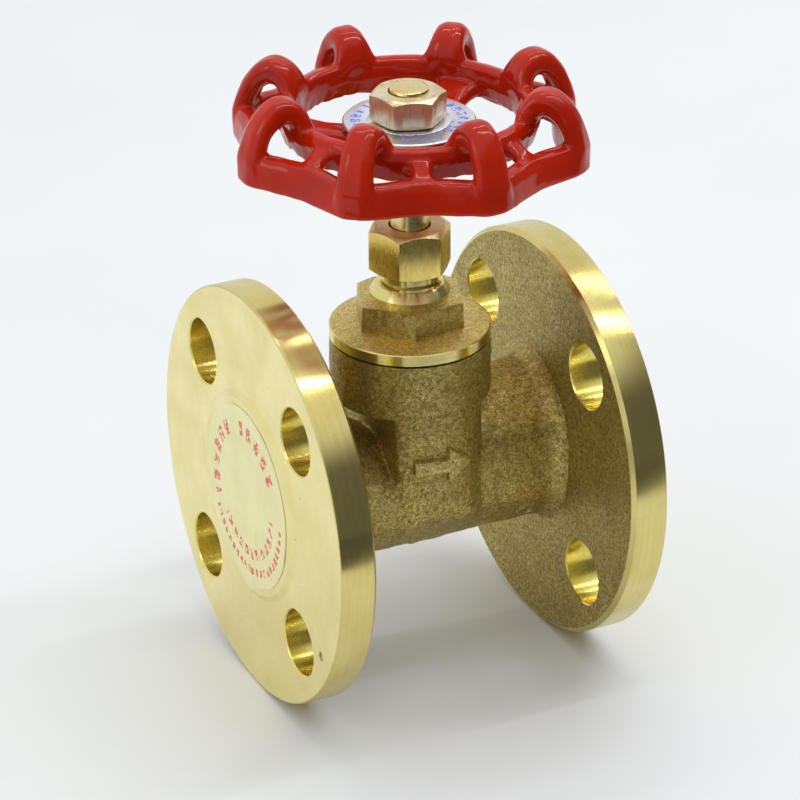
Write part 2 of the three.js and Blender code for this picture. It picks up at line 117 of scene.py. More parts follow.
# Inside the body
SEAT_TOP = 4
SEAT_BOTTOM = 0.7
SEAT_POCKET_R = 8.15
WELL_BOTTOM = -14
WELL_R = 6
CHAMBER_R = 8.5
CHAMBER_TOP = 22.8
SCREWED_R = 12.1
GASKET_RADII = (12.3, 16.7)
GASKET_SEAT = 1.5
PASSAGE_R = 6
PORT_END = 20
INLET_PASSAGE = ((-25, 0), (0, -7.4))
OUTLET_PASSAGE = ((25, 0), (2, 11))

# Bonnet
RIM_TOP = 34.4
RIM_DEPTH = 1.4
SHANK_R = 11.8
SHANK_PITCH = 1.5
STEM_BORE_R = 5.7
DOME_R = 13.0
DOME_RISE = 1.0
HEX_TOP = 41.5
HEX_TURN = 9.6
HEX_R = 13.15
HEX_FLAT = 11.5
HEX_DROP = 0.75
COLLAR_R = 8.95
CONE_TOP = 44.15
NECK_R = 6.45
PACKING_R = 5.5
PACKING_FLOOR = 42.0

# Nuts, stem and nameplate
STEM_R = 4.3
STEM_THREAD_R = 5.4
STEM_THREAD = (17.6, 27.4)
STEM_NECK_R = 3.0
BUTTON_R = 4.4
BUTTON_BOTTOM = 10.9
GLAND_R = 9.4
GLAND_TURN = 50.0
GLAND_HOLLOW_R = 7.2
GLAND_HOLLOW_TOP = 56
NUT_R = 8.45
NUT_TURN = 42.0
NUT_SHIFT = -0.3
PLATE_GROOVE_R = 9.1

# Handwheel
WHEEL_TURN = 1.1
ARCHES = 8
RIM_CORNER = 41.0
RIM_MIDDLE = 36.3
RIM_BLUNT = 2.4
WHEEL_BOTTOM = 75.4
WHEEL_RIM_TOP = 83.2
RING_IN = 24.4
RING_OUT = 28.4
RING_TOP = 87.0
HUB_BOTTOM = 73.0
HUB_TOP = 81.4
HUB_R = 9.5
SPOKE_ANGLES = (37.0, 157.0, 277.0)

# ---- shape helpers

SHARP_DEGREES = 28.0  # edges that turn more than this stay sharp, or are bevelled


def place(point):
    """Millimetres from the flow axis to metres in the frame."""
    return Vector((point[0] * MM, point[1] * MM, point[2] * MM + AXIS))


def on_circle(radius, degrees, height=0.0):
    angle = math.radians(degrees)
    return Vector((radius * math.cos(angle), radius * math.sin(angle), height))


def solid(points):
    """The convex body round some points."""
    shape = bmesh.new()
    for point in points:
        shape.verts.new(point)
    hull = bmesh.ops.convex_hull(shape, input=shape.verts)
    inside = [v for v in hull["geom_interior"] if isinstance(v, bmesh.types.BMVert)]
    bmesh.ops.delete(shape, geom=inside, context="VERTS")
    bmesh.ops.recalc_face_normals(shape, faces=shape.faces)
    return shape


def turned(profile, segments=96, looks=None):
    """Revolves a [radius, height] outline about Z; looks gives each band's material index."""
    shape = bmesh.new()
    rings = []
    for radius, height in profile:
        if radius < 1e-6:
            rings.append([shape.verts.new((0, 0, height))])
            continue
        steps = [360 * i / segments for i in range(segments)]
        rings.append([shape.verts.new(on_circle(radius, step, height)) for step in steps])
    closed = profile[0][0] > 1e-6
    bands = list(zip(rings, rings[1:]))
    if closed:
        bands.append((rings[-1], rings[0]))
    for number, (low, high) in enumerate(bands):
        for i in range(segments):
            j = (i + 1) % segments
            corners = [low[i % len(low)], low[j % len(low)], high[j % len(high)], high[i % len(high)]]
            corners = list(dict.fromkeys(corners))
            if len(corners) > 2:
                face = shape.faces.new(corners)
                face.material_index = looks[number] if looks else 0
    bmesh.ops.recalc_face_normals(shape, faces=shape.faces)
    return shape


def plug(radius, low, high, segments=96, hole=0.0):
    """A plain cylinder about Z, or a ring when it has a hole."""
    return turned([(hole, low), (radius, low), (radius, high), (hole, high)], segments)


def turn_shape(shape, matrix):
    bmesh.ops.transform(shape, matrix=matrix, verts=shape.verts)
    return shape


def along_x(shape, side=1):
    """Lays a shape made about Z along X, its top towards the inlet (-1) or the outlet (1)."""
    return turn_shape(shape, Matrix.Rotation(side * math.pi / 2, 4, "Y"))


def about_z(shape, degrees):
    return turn_shape(shape, Matrix.Rotation(math.radians(degrees), 4, "Z"))


def merged(shapes):
    """Several shapes in one bmesh, left as they overlap."""
    whole = bmesh.new()
    for shape in shapes:
        mesh = bpy.data.meshes.new("part")
        shape.to_mesh(mesh)
        whole.from_mesh(mesh)
        bpy.data.meshes.remove(mesh)
        shape.free()
    return whole


def new_object(name, shape, materials=()):
    """A mesh object in the frame made from a bmesh in millimetres."""
    for vertex in shape.verts:
        vertex.co = place(vertex.co)
    mesh = bpy.data.meshes.new(name)
    shape.to_mesh(mesh)
    shape.free()
    for material in materials:
        mesh.materials.append(material)
    piece = bpy.data.objects.new(name, mesh)
    bpy.context.scene.collection.objects.link(piece)
    return piece


def settle(piece):
    """Replaces a piece's mesh with the result of its modifiers."""
    bpy.context.view_layer.update()
    evaluated = piece.evaluated_get(bpy.context.evaluated_depsgraph_get())
    mesh = bpy.data.meshes.new_from_object(evaluated)
    old = piece.data
    piece.modifiers.clear()
    piece.data = mesh
    mesh.name = old.name
    bpy.data.meshes.remove(old)
    return piece


def shade(piece, sharp_degrees=SHARP_DEGREES):
    piece.data.shade_smooth()
    piece.data.set_sharp_from_angle(angle=math.radians(sharp_degrees))
    return piece


def bevel(piece, width):
    modifier = piece.modifiers.new("edges", "BEVEL")
    modifier.width = width * MM
    modifier.segments = 2
    modifier.limit_method = "ANGLE"
    modifier.angle_limit = math.radians(SHARP_DEGREES)
    modifier.harden_normals = False
    return settle(piece)


def cut(piece, cutter_shape, operation="DIFFERENCE", look=0):
    """A boolean cut whose new faces take the piece's material number `look`."""
    for face in cutter_shape.faces:
        face.material_index = look
    cutter = new_object("cutter", cutter_shape, piece.data.materials)
    modifier = piece.modifiers.new("cut", "BOOLEAN")
    modifier.operation = operation
    modifier.solver = "EXACT"
    modifier.material_mode = "INDEX"
    modifier.object = cutter
    settle(piece)
    bpy.data.meshes.remove(cutter.data)
    return piece


def soften(piece, voxel, rounds, relief=0.0, grain=3.0, detail=None):
    """Melts overlapping shapes into one skin with rounded corners, and makes it slightly uneven.

    detail gives extra height in millimetres at a point measured from the flow axis.
    """
    remesh = piece.modifiers.new("skin", "REMESH")
    remesh.mode = "VOXEL"
    remesh.voxel_size = voxel * MM
    smooth = piece.modifiers.new("round", "SMOOTH")
    smooth.factor = 0.5
    smooth.iterations = rounds
    settle(piece)
    mesh = piece.data
    normals = [vertex.normal.copy() for vertex in mesh.vertices]
    for vertex, normal in zip(mesh.vertices, normals):
        height = relief * noise.noise(vertex.co / (grain * MM)) if relief else 0.0
        if detail:
            height += detail((vertex.co - Vector((0, 0, AXIS))) / MM)
        vertex.co += normal * (height * MM)
    return piece


def finish_piece(piece, body, slot, *replaced):
    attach(piece, body)
    if replaced:
        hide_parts(*replaced)
    return piece


# ---- material helpers


class Nodes:
    """Short ways to add nodes to a material's or a world's tree."""

    def __init__(self, tree):
        self.tree = tree

    def node(self, kind, inputs=None, **settings):
        made = self.tree.nodes.new(kind)
        for key, value in settings.items():
            setattr(made, key, value)
        for key, value in (inputs or {}).items():
            self.feed(made.inputs[key], value)
        return made

    def feed(self, socket, value):
        if isinstance(value, bpy.types.NodeSocket):
            self.tree.links.new(value, socket)
        else:
            socket.default_value = value

    def math(self, operation, *values):
        made = self.node("ShaderNodeMath", operation=operation)
        for socket, value in zip(made.inputs, values):
            self.feed(socket, value)
        return made.outputs[0]

    def times(self, first, second):
        return self.math("MULTIPLY", first, second)

    def vector(self, operation, *values):
        made = self.node("ShaderNodeVectorMath", operation=operation)
        for socket, value in zip(made.inputs, values):
            self.feed(socket, value)
        return made.outputs["Value" if operation in ("LENGTH", "DOT_PRODUCT") else "Vector"]

    def parts(self, vector):
        return self.node("ShaderNodeSeparateXYZ", {0: vector}).outputs

    def join(self, x, y, z):
        return self.node("ShaderNodeCombineXYZ", {0: x, 1: y, 2: z}).outputs[0]

    def span(self, value, low, high, new_low=0.0, new_high=1.0, kind="LINEAR"):
        inputs = {"Value": value, "From Min": low, "From Max": high, "To Min": new_low, "To Max": new_high}
        return self.node("ShaderNodeMapRange", inputs, clamp=True, interpolation_type=kind).outputs[0]

    def mix(self, share, first, second):
        made = self.node("ShaderNodeMix", data_type="RGBA")
        self.feed(made.inputs["Factor"], share)
        for socket, colour in ((made.inputs["A"], first), (made.inputs["B"], second)):
            colour = (*colour, 1) if isinstance(colour, tuple) else colour
            self.feed([s for s in made.inputs if s.name == socket.name and s.type == "RGBA"][0], colour)
        return [s for s in made.outputs if s.type == "RGBA"][0]


class Look(Nodes):
    """A node material with a Principled shader."""

    def __init__(self, name, metallic, roughness):
        self.material = bpy.data.materials.new(name)
        self.material.use_nodes = True
        super().__init__(self.material.node_tree)
        self.shader = self.tree.nodes["Principled BSDF"]
        self.set("Metallic", metallic)
        self.set("Roughness", roughness)
        self.position = self.node("ShaderNodeTexCoord").outputs["Object"]

    def set(self, name, value):
        self.feed(self.shader.inputs[name], value)

    def noise(self, size, detail=2.0, roughness=0.5, at=None):
        """Noise from 0 to 1 whose features are about `size` millimetres wide."""
        inputs = {"Vector": at or self.position, "Scale": 1 / (size * MM), "Detail": detail}
        inputs["Roughness"] = roughness
        return self.node("ShaderNodeTexNoise", inputs).outputs["Fac"]

    def cells(self, size):
        """A random value for each cell, cells `size` millimetres wide."""
        inputs = {"Vector": self.position, "Scale": 1 / (size * MM)}
        made = self.node("ShaderNodeTexVoronoi", inputs)
        return self.parts(made.outputs["Color"])[0]

    def bump(self, height, depth):
        """Relief `depth` millimetres deep, laid over any relief already there."""
        inputs = {"Height": height, "Distance": depth * MM, "Strength": 1.0}
        made = self.node("ShaderNodeBump", inputs)
        socket = self.shader.inputs["Normal"]
        if socket.is_linked:
            self.tree.links.new(socket.links[0].from_socket, made.inputs["Normal"])
        self.tree.links.new(made.outputs[0], socket)

    def around(self, axis):
        """(radius, distance along the axis, angle), the first two in millimetres."""
        x, y, z = self.parts(self.vector("SUBTRACT", self.position, (0, 0, AXIS)))
        first, second, along = (y, z, x) if axis == "X" else (x, y, z)
        radius = self.vector("LENGTH", self.join(first, second, 0))
        angle = self.math("ARCTAN2", second, first)
        to_mm = 1 / MM
        return self.times(radius, to_mm), self.times(along, to_mm), angle


def turned_metal(name, axis, pale, deep, rough=(0.2, 0.34), groove=0.012, streaks=0.4, lathe=0.0):
    """Brass off the lathe: fine circular lines, faint blotches and a few dull patches.

    streaks is how much of the tone follows the tool's circles rather than soft clouds, and
    lathe is how far the tool's lines draw reflections out across them.
    """
    look = Look(name, 1.0, rough[0])
    if lathe:
        circles = look.node("ShaderNodeTangent", direction_type="RADIAL", axis=axis)
        look.set("Anisotropic", lathe)
        look.set("Anisotropic Rotation", 0.25)
        look.set("Tangent", circles.outputs[0])
    radius, along, angle = look.around(axis)
    lines_at = look.join(radius, along, look.times(angle, 0.4))
    fine = look.node("ShaderNodeTexNoise", {"Vector": lines_at, "Scale": 7.0, "Detail": 3.0}).outputs["Fac"]
    wide = look.node("ShaderNodeTexNoise", {"Vector": lines_at, "Scale": 1.3, "Detail": 2.0}).outputs["Fac"]
    cloud = look.noise(9.0, 4.0)
    soft = look.times(cloud, 1 - streaks)
    tone = look.math("ADD", soft, look.times(wide, streaks))
    base = look.mix(look.span(tone, 0.35, 0.65), pale, deep)
    dent = look.span(look.noise(1.3, 2.0), 0.70, 0.76)
    base = look.mix(look.times(dent, 0.35), base, tuple(c * 0.5 for c in deep))
    look.set("Base Color", base)
    streak = look.math("ADD", look.times(fine, streaks), soft)
    look.set("Roughness", look.span(streak, 0.35, 0.65, *rough))
    look.bump(fine, groove)
    return look.material


def cast_metal(name, dark, middle, spark, rough=0.5, sparkle=0.6, grain=0.32, relief=0.13):
    """Sand-cast bronze: a coarse sandy grain with bright flecks on its high spots."""
    look = Look(name, 0.9, rough)
    coarse = look.noise(grain * 2.6, 3.0, 0.6)
    fine = look.noise(grain, 3.0, 0.65)
    cloud = look.noise(11.0, 3.0)
    fleck = look.cells(grain * 0.75)
    height = look.math("ADD", look.times(fine, 0.6), look.times(coarse, 0.4))
    base = look.mix(look.span(height, 0.42, 0.56), dark, middle)
    bright = look.times(look.span(fleck, 0.70, 0.86), look.span(height, 0.47, 0.56))
    base = look.mix(look.times(bright, sparkle), base, spark)
    pit = look.times(look.span(fleck, 0.24, 0.10), look.span(height, 0.52, 0.45))
    base = look.mix(look.times(pit, sparkle), base, tuple(c * 0.35 for c in dark))
    shade_by = look.span(cloud, 0.35, 0.68, 0.0, 0.3)
    base = look.mix(shade_by, base, tuple(c * 0.75 for c in dark))
    look.set("Base Color", base)
    look.set("Roughness", look.span(fleck, 0.0, 1.0, rough + 0.12, rough - 0.16))
    look.bump(height, relief)
    return look.material


def enamel(name):
    """Thick gloss enamel over a rough casting, with small darker specks."""
    look = Look(name, 0.0, 0.2)
    cloud = look.noise(14.0, 3.0)
    pool = look.noise(4.5, 2.0)
    dust = look.noise(0.4, 2.0)
    base = look.mix(look.span(cloud, 0.35, 0.65), (0.40, 0.012, 0.0015), (0.50, 0.018, 0.002))
    thin = look.times(look.span(dust, 0.68, 0.76), look.span(pool, 0.5, 0.62))
    base = look.mix(look.times(thin, 0.5), base, (0.17, 0.006, 0.004))
    look.set("Base Color", base)
    look.set("Roughness", look.span(look.noise(1.1, 3.0), 0.35, 0.7, 0.08, 0.16))
    look.bump(pool, 0.06)
    look.bump(look.noise(0.9, 2.0), 0.006)
    look.set("IOR", 1.35)
    return look.material


def bar_brass(name, pale, deep, smudge, smudge_share, rough=(0.22, 0.36), metallic=1.0):
    """Drawn hexagon bar: faint lines along the stem, small dents and dark handling smudges."""
    look = Look(name, metallic, rough[0])
    x, y, z = look.parts(look.position)
    drawn_at = look.join(look.times(x, 5.0), look.times(y, 5.0), z)
    drawn = look.noise(3.0, 4.0, 0.6, drawn_at)
    cloud = look.noise(4.0, 4.0, 0.6)
    base = look.mix(look.span(cloud, 0.38, 0.62), pale, deep)
    dirt = look.times(look.span(drawn, 0.52, 0.7), look.span(cloud, 0.42, 0.6))
    base = look.mix(look.times(dirt, smudge_share), base, smudge)
    look.set("Base Color", base)
    look.set("Roughness", look.span(drawn, 0.3, 0.7, *rough))
    look.bump(drawn, 0.005)
    look.bump(look.noise(0.8, 2.0), 0.008)
    return look.material


def between(look, value, low, high, soft=0.08):
    """1 where low < value < high, with soft edges."""
    rise = look.span(value, low - soft, low + soft)
    fall = look.span(value, high - soft, high + soft, 1.0, 0.0)
    return look.times(rise, fall)


def printed(look, radius, angle, rows):
    """Dashes on arcs; a row is a band of radii, a pitch in degrees, a filled share and a sector."""
    turn = look.times(angle, 180 / math.pi)
    whole = 0.0
    for band, pitch, duty, sector in rows:
        phase = look.math("FRACT", look.math("DIVIDE", look.math("ADD", turn, 720.0), pitch))
        marks = between(look, phase, 0.5 - duty / 2, 0.5 + duty / 2, 0.04)
        ring = between(look, radius, *band)
        inside = between(look, turn, *sector, 0.5)
        whole = look.math("MAXIMUM", whole, look.times(look.times(marks, ring), inside))
    return whole


def plate_metal(name):
    """Brushed aluminium with rows of uneven blue marks and a bar printed round it."""
    look = Look(name, 1.0, 0.3)
    radius, _, angle = look.around("Z")
    x, y, _ = look.parts(look.position)
    brushed_at = look.join(look.times(x, 14.0), y, 0)
    brushed = look.noise(2.5, 4.0, 0.6, brushed_at)
    base = look.mix(look.span(brushed, 0.35, 0.65), (0.88, 0.90, 0.94), (0.76, 0.78, 0.82))
    print_mask = printed(look, radius, angle, (
        ((10.6, 12.8), 13.0, 0.6, (130, 179)),
        ((10.6, 12.8), 13.0, 0.6, (-66, 118)),
        ((9.0, 10.0), 8.0, 0.6, (-179, -30)),
        ((11.5, 12.2), 360.0, 1.0, (-118, -88)),
        ((10.8, 12.9), 360.0, 1.0, (-124, -118)),
        ((10.8, 12.9), 360.0, 1.0, (-88, -82)),
    ))
    broken = look.span(look.noise(0.9, 1.0), 0.42, 0.46)
    worn = look.times(broken, look.span(look.noise(0.5, 3.0), 0.3, 0.45))
    print_mask = look.times(print_mask, worn)
    look.set("Base Color", look.mix(print_mask, base, (0.03, 0.17, 0.95)))
    look.set("Metallic", look.math("SUBTRACT", 1.0, print_mask))
    look.set("Roughness", look.span(brushed, 0.3, 0.7, 0.26, 0.4))
    look.bump(brushed, 0.006)
    groove = between(look, radius, 9.0, 9.2, 0.06)
    look.bump(groove, -0.03)
    return look.material


def label_paper(name):
    """Cream sticker with rows of uneven red blocks printed round it."""
    look = Look(name, 0.0, 0.45)
    radius, _, angle = look.around("X")
    fibre = look.noise(0.7, 4.0, 0.6)
    cloud = look.noise(8.0, 3.0)
    base = look.mix(look.span(cloud, 0.35, 0.65), (0.88, 0.84, 0.42), (0.83, 0.77, 0.36))
    base = look.mix(look.span(fibre, 0.45, 0.7, 0.0, 0.25), base, (0.92, 0.89, 0.58))
    blocks = printed(look, radius, angle, (
        ((14.3, 17.8), 15.0, 0.55, (-22, 62)),
        ((14.3, 17.8), 15.0, 0.55, (80, 150)),
        ((12.2, 14.6), 13.0, 0.6, (-179, -40)),
        ((16.8, 18.6), 7.0, 0.62, (-179, -30)),
    ))
    broken = look.span(look.noise(1.1, 1.0), 0.44, 0.47)
    worn = look.span(look.noise(0.5, 3.0), 0.3, 0.5, 0.6, 1.0)
    print_mask = look.times(look.times(blocks, broken), worn)
    look.set("Base Color", look.mix(print_mask, base, (0.76, 0.07, 0.05)))
    look.bump(look.noise(0.5, 3.0), 0.03)
    look.bump(look.noise(5.0, 3.0), 0.2)
    look.set("Coat Weight", 0.25)
    look.set("Coat Roughness", 0.3)
    return look.material


def fibre_sheet(name):
    look = Look(name, 0.0, 0.8)
    strand = look.noise(0.6, 5.0, 0.7)
    look.set("Base Color", look.mix(look.span(strand, 0.35, 0.65), (0.12, 0.035, 0.018), (0.28, 0.09, 0.05)))
    look.bump(strand, 0.08)
    return look.material


def white_plastic(name):
    look = Look(name, 0.0, 0.4)
    cloud = look.noise(2.0, 3.0)
    look.set("Base Color", look.mix(look.span(cloud, 0.35, 0.65), (0.80, 0.79, 0.74), (0.68, 0.67, 0.62)))
    look.set("Roughness", look.span(look.noise(0.6, 3.0), 0.3, 0.7, 0.32, 0.5))
    look.bump(look.noise(0.8, 3.0), 0.015)
    return look.material


LOOKS = {
    "flange": turned_metal(
        "flange_brass", "X", (0.93, 0.83, 0.40), (0.86, 0.75, 0.33), (0.27, 0.36), 0.003, 0.15,
    ),
    "rim": turned_metal(
        "rim_brass", "X", (0.77, 0.66, 0.27), (0.68, 0.56, 0.18), (0.20, 0.28), 0.003, 0.4, lathe=0.95,
    ),
    "bore": turned_metal(
        "bore_brass", "X", (0.86, 0.73, 0.22), (0.76, 0.63, 0.14), (0.20, 0.32), 0.008, 0.7, lathe=0.8,
    ),
    "turned": turned_metal(
        "turned_brass", "Z", (0.84, 0.74, 0.32), (0.76, 0.65, 0.23), (0.15, 0.24), lathe=0.8,
    ),
    "cast": cast_metal("cast_bronze", (0.29, 0.22, 0.055), (0.65, 0.50, 0.15), (1.0, 0.88, 0.46)),
    "rubbed": cast_metal(
        "rubbed_bronze", (0.40, 0.31, 0.09), (0.78, 0.66, 0.22), (1.0, 0.92, 0.5), sparkle=0.7,
    ),
    "bonnet": cast_metal(
        "bonnet_bronze", (0.45, 0.33, 0.09), (0.82, 0.65, 0.20), (1.0, 0.9, 0.5),
        rough=0.44, sparkle=0.45, grain=0.30, relief=0.08,
    ),
    "gland": bar_brass("gland_brass", (0.88, 0.70, 0.22), (0.78, 0.60, 0.16), (0.44, 0.33, 0.09), 0.2),
    "gland_top": bar_brass(
        "gland_top", (0.80, 0.62, 0.32), (0.68, 0.48, 0.23), (0.50, 0.28, 0.14), 0.4, (0.34, 0.46),
    ),
    "stem": turned_metal("stem_brass", "Z", (0.82, 0.68, 0.32), (0.70, 0.52, 0.20), (0.16, 0.30)),
    "nut": bar_brass(
        "nut_brass", (0.80, 0.70, 0.45), (0.70, 0.58, 0.34), (0.18, 0.11, 0.06), 0.9, (0.28, 0.4), 0.85,
    ),
    "red": enamel("red_enamel"),
    "plate": plate_metal("nameplate_aluminium"),
    "label": label_paper("label_paper"),
    "fibre": fibre_sheet("gasket_fibre"),
    "white": white_plastic("white_plastic"),
    "steel": turned_metal("turned_steel", "Z", (0.56, 0.56, 0.55), (0.44, 0.44, 0.44), (0.22, 0.36)),
}

# ---- body


def flange(name, side):
    """A machined flange whose back is left as cast; its rim has a bright chamfer behind."""
    front = FLANGE_FRONT
    profile = [
        (PORT_R, FLANGE_BACK), (FLANGE_R - FLANGE_EDGE, FLANGE_BACK),
        (FLANGE_R, FLANGE_BACK + FLANGE_EDGE * 0.8),
        (FLANGE_R, front - 0.5), (FLANGE_R - 0.12, front - 0.14), (FLANGE_R - 0.45, front),
        (RAISED_FACE_R + 1.3, front), (RAISED_FACE_R + 0.7, front + 0.1), (RAISED_FACE_R + 0.2, front + 0.4),
        (RAISED_FACE_R - 0.2, FACE_X - 0.2), (RAISED_FACE_R - 0.7, FACE_X),
        (LABEL_R + 0.3, FACE_X), (LABEL_R + 0.2, FACE_X - 0.05), (PORT_R + 0.5, FACE_X - 0.05),
        (PORT_R, FACE_X - 0.55),
    ]
    face, back, rim, inside = range(4)
    looks = [back, rim, rim, rim, rim] + [face] * 9 + [inside]
    shape = along_x(turned(profile, 192, looks), side)
    materials = [LOOKS["flange"], LOOKS["cast"], LOOKS["rim"], LOOKS["bore"]]
    piece = new_object(name, shape, materials)
    past, wide = 1, BOLT_R + BOLT_EDGE + 1
    outline = [
        (0, FLANGE_BACK - past), (wide, FLANGE_BACK - past), (BOLT_R, FLANGE_BACK + BOLT_EDGE),
        (BOLT_R, front - BOLT_EDGE), (wide, front + past), (0, front + past),
    ]
    for hole in range(BOLT_HOLES):
        centre = on_circle(BOLT_CIRCLE_R, (hole + 0.5) * 360 / BOLT_HOLES)
        cutter = turn_shape(turned(outline, 96), Matrix.Translation((centre.x, centre.y, 0)))
        cut(piece, along_x(cutter, side), look=inside)
    if side < 0:
        cut(piece, nick_shape(), look=back)
    return finish_piece(shade(piece, 20), "root", "cast_bronze", "body")


def nick_shape():
    """The small knock near a bolt hole on the inlet flange's face."""
    y, z = NICK_PLACE
    start = Vector((-FLANGE_FRONT - 0.3, y, z))
    mouth = ((0, -1.5, -0.8), (0, 1.4, 0.9), (0, 0.6, -1.4), (0, -0.4, 1.9))
    floor_points = ((1.0, -0.3, 0), (1.0, 0.3, 0.4))
    return solid([start + Vector(step) for step in mouth + floor_points])


def rounded(outline, first_cut):
    """A convex outline with its corners cut twice."""
    for share in (first_cut, 0.25):
        corners = []
        for start, end in zip(outline, outline[1:] + outline[:1]):
            corners += [start.lerp(end, share), start.lerp(end, 1 - share)]
        outline = corners
    return outline


def neck_section(x, top_z, shoulder, grow=0.0):
    """The outline of a neck across the flow, at x: rounder as it grows towards its flange."""
    half = [
        (NECK_TOP_FLAT + grow / 2, top_z + grow), (NECK_HALF + grow, shoulder + grow / 3),
        (NECK_HALF + grow, -NECK_SHOULDER - grow / 3), (NECK_BOTTOM_FLAT + grow / 3, -NECK_TOP - grow),
    ]
    loop = half + [(-y, z) for y, z in reversed(half)]
    return rounded([Vector((x, y, z)) for y, z in loop], 0.16 + min(grow, 3) * 0.03)


def flare_shapes(side, top_z, shoulder):
    """Convex slices of the rounded corner between a neck and its flange."""
    sections = []
    for degrees in (0, 15, 30, 45, 60, 72, 82):
        angle = math.radians(degrees)
        x = FLANGE_BACK + FLARE_LAP - FLARE_R * (1 - math.sin(angle))
        grow = FLARE_R * (1 - math.cos(angle))
        sections.append(neck_section(side * x, top_z, shoulder, grow))
    return [solid(low + high) for low, high in zip(sections, sections[1:])]


def waist_shape():
    """Below the barrel the casting is narrow along the flow, with rounded lower corners."""
    levels = (  # height, half-width along the flow, half-width across it
        (BARREL_LEDGE + 2, WAIST_HALF, BARREL_R), (-5, WAIST_HALF, BARREL_R), (-8, WAIST_HALF - 0.5, 16.8),
        (-11, WAIST_HALF - 1.6, 13.9), (-14, WAIST_HALF - 3.6, 11.0), (0.4 - NECK_TOP, WAIST_HALF - 6.5, 7.4),
    )
    points = []
    for height, half_x, half_y in levels:
        for step in range(0, 360, 3):
            point = on_circle(BARREL_R, step, height)
            point.x = max(-half_x, min(half_x, point.x))
            point.y = max(-half_y, min(half_y, point.y))
            points.append(point)
    return solid(points)


def flow_arrow():
    """A raised arrow on the front of the waist, pointing from the inlet to the outlet."""
    shaft = [(-7.5, -1.5), (1.0, -1.5), (1.0, 1.5), (-7.5, 1.5)]
    head = [(0.2, -4.2), (6.5, 0.0), (0.2, 4.2)]
    shapes = []
    for outline in (shaft, head):
        points = []
        for x, z in outline:
            points += [Vector((x, y, ARROW_HEIGHT + z)) for y in (-BARREL_R - 2, 2 - BARREL_R)]
        shapes.append(solid(points))
    piece = new_object("flow_arrow", merged(shapes), [LOOKS["rubbed"]])
    soften(piece, 0.25, 1)
    cut(piece, plug(BARREL_R + ARROW_RELIEF, 0, 2 * ARROW_HEIGHT), "INTERSECT")
    soften(piece, 0.2, 2, relief=0.08, grain=1.2)
    return finish_piece(shade(piece, 60), "root", "cast_bronze", "body")


def casting_marks(point):
    """A faint seam round the front of the barrel's foot, flecks on the waist's edge and a lump."""
    height = 0.0
    x, y, z = point
    if y < -8 and abs(x) < 11:
        seam = SEAM_HEIGHT + 0.005 * x * x - z
        height -= 0.22 * math.exp(-(seam / 0.28) ** 2)
        edge = math.exp(-((x + 9.6) / 0.9) ** 2) if -9 < z < 15 else 0
        height += 0.5 * edge * max(0.0, noise.noise(point * 0.9) + 0.1)
    lump = (point - Vector((24.0, -12.0, -14.5))).length
    if lump < 6:
        height += 0.9 * math.exp(-(lump / 2.6) ** 2) * (0.5 + noise.noise(point * 0.8))
    return height


def body_core():
    """The cast middle of the body: barrel, waist, both necks and their flares."""
    saddle = (SADDLE_TOP, SADDLE_SHOULDER)
    full = (NECK_TOP, NECK_SHOULDER)
    flare_start = FLANGE_BACK + FLARE_LAP - FLARE_R
    shapes = [
        plug(BARREL_R, BARREL_LEDGE, BARREL_TOP + 2, 128),
        waist_shape(),
        solid(neck_section(0, *full) + neck_section(flare_start, *full)),
        solid(neck_section(0, *saddle) + neck_section(-WAIST_HALF, *saddle)),
        solid(neck_section(-WAIST_HALF, *saddle) + neck_section(-SADDLE_END, *full)),
        solid(neck_section(-SADDLE_END, *full) + neck_section(-flare_start, *full)),
        *flare_shapes(1, *full),
        *flare_shapes(-1, *full),
    ]
    for side, start in ((1, 10.0), (-1, 20.0)):
        ridge = ((-0.5, NECK_TOP - 1), (0.5, NECK_TOP - 1), (0.25, NECK_TOP + 0.45), (-0.25, NECK_TOP + 0.45))
        points = [Vector((side * x, y, z)) for x in (start, FLANGE_BACK) for y, z in ridge]
        shapes.append(solid(points))
    piece = new_object("body_casting", merged(shapes), [LOOKS["cast"], LOOKS["turned"]])
    soften(piece, 0.5, 4, relief=0.17, grain=2.4, detail=casting_marks)
    for cutter, look in body_cutters():
        cut(piece, cutter, look=look)
    return finish_piece(shade(piece, 40), "root", "cast_bronze", "body")


def body_cutters():
    """What is taken out of the casting: (shape, material number of the faces it leaves)."""
    cast, machined = 0, 1
    above = BARREL_TOP + 4
    gasket_in, gasket_out = GASKET_RADII
    well = [
        (0, WELL_BOTTOM), (WELL_R, WELL_BOTTOM), (WELL_R, SEAT_BOTTOM), (SEAT_POCKET_R, SEAT_BOTTOM),
        (SEAT_POCKET_R, SEAT_TOP), (CHAMBER_R, SEAT_TOP), (CHAMBER_R, CHAMBER_TOP),
        (SCREWED_R, CHAMBER_TOP), (SCREWED_R, above), (0, above),
    ]
    cutters = [
        (plug(BARREL_R + 4, BARREL_TOP, above, 128), machined),
        (plug(gasket_out, BARREL_TOP - GASKET_SEAT, above, hole=gasket_in), machined),
        (turned(well, 64), machined),
    ]
    for side, (low, high) in ((-1, INLET_PASSAGE), (1, OUTLET_PASSAGE)):
        cutters.append((along_x(plug(PORT_R, PORT_END, FACE_X, 64), side), machined))
        start, end = Vector((low[0], 0, low[1])), Vector((high[0], 0, high[1]))
        slanted = plug(PASSAGE_R, 0, (end - start).length, 48)
        turn = (end - start).to_track_quat("Z", "Y").to_matrix().to_4x4()
        cutters.append((turn_shape(slanted, Matrix.Translation(start) @ turn), cast))
    return cutters


# ---- bonnet


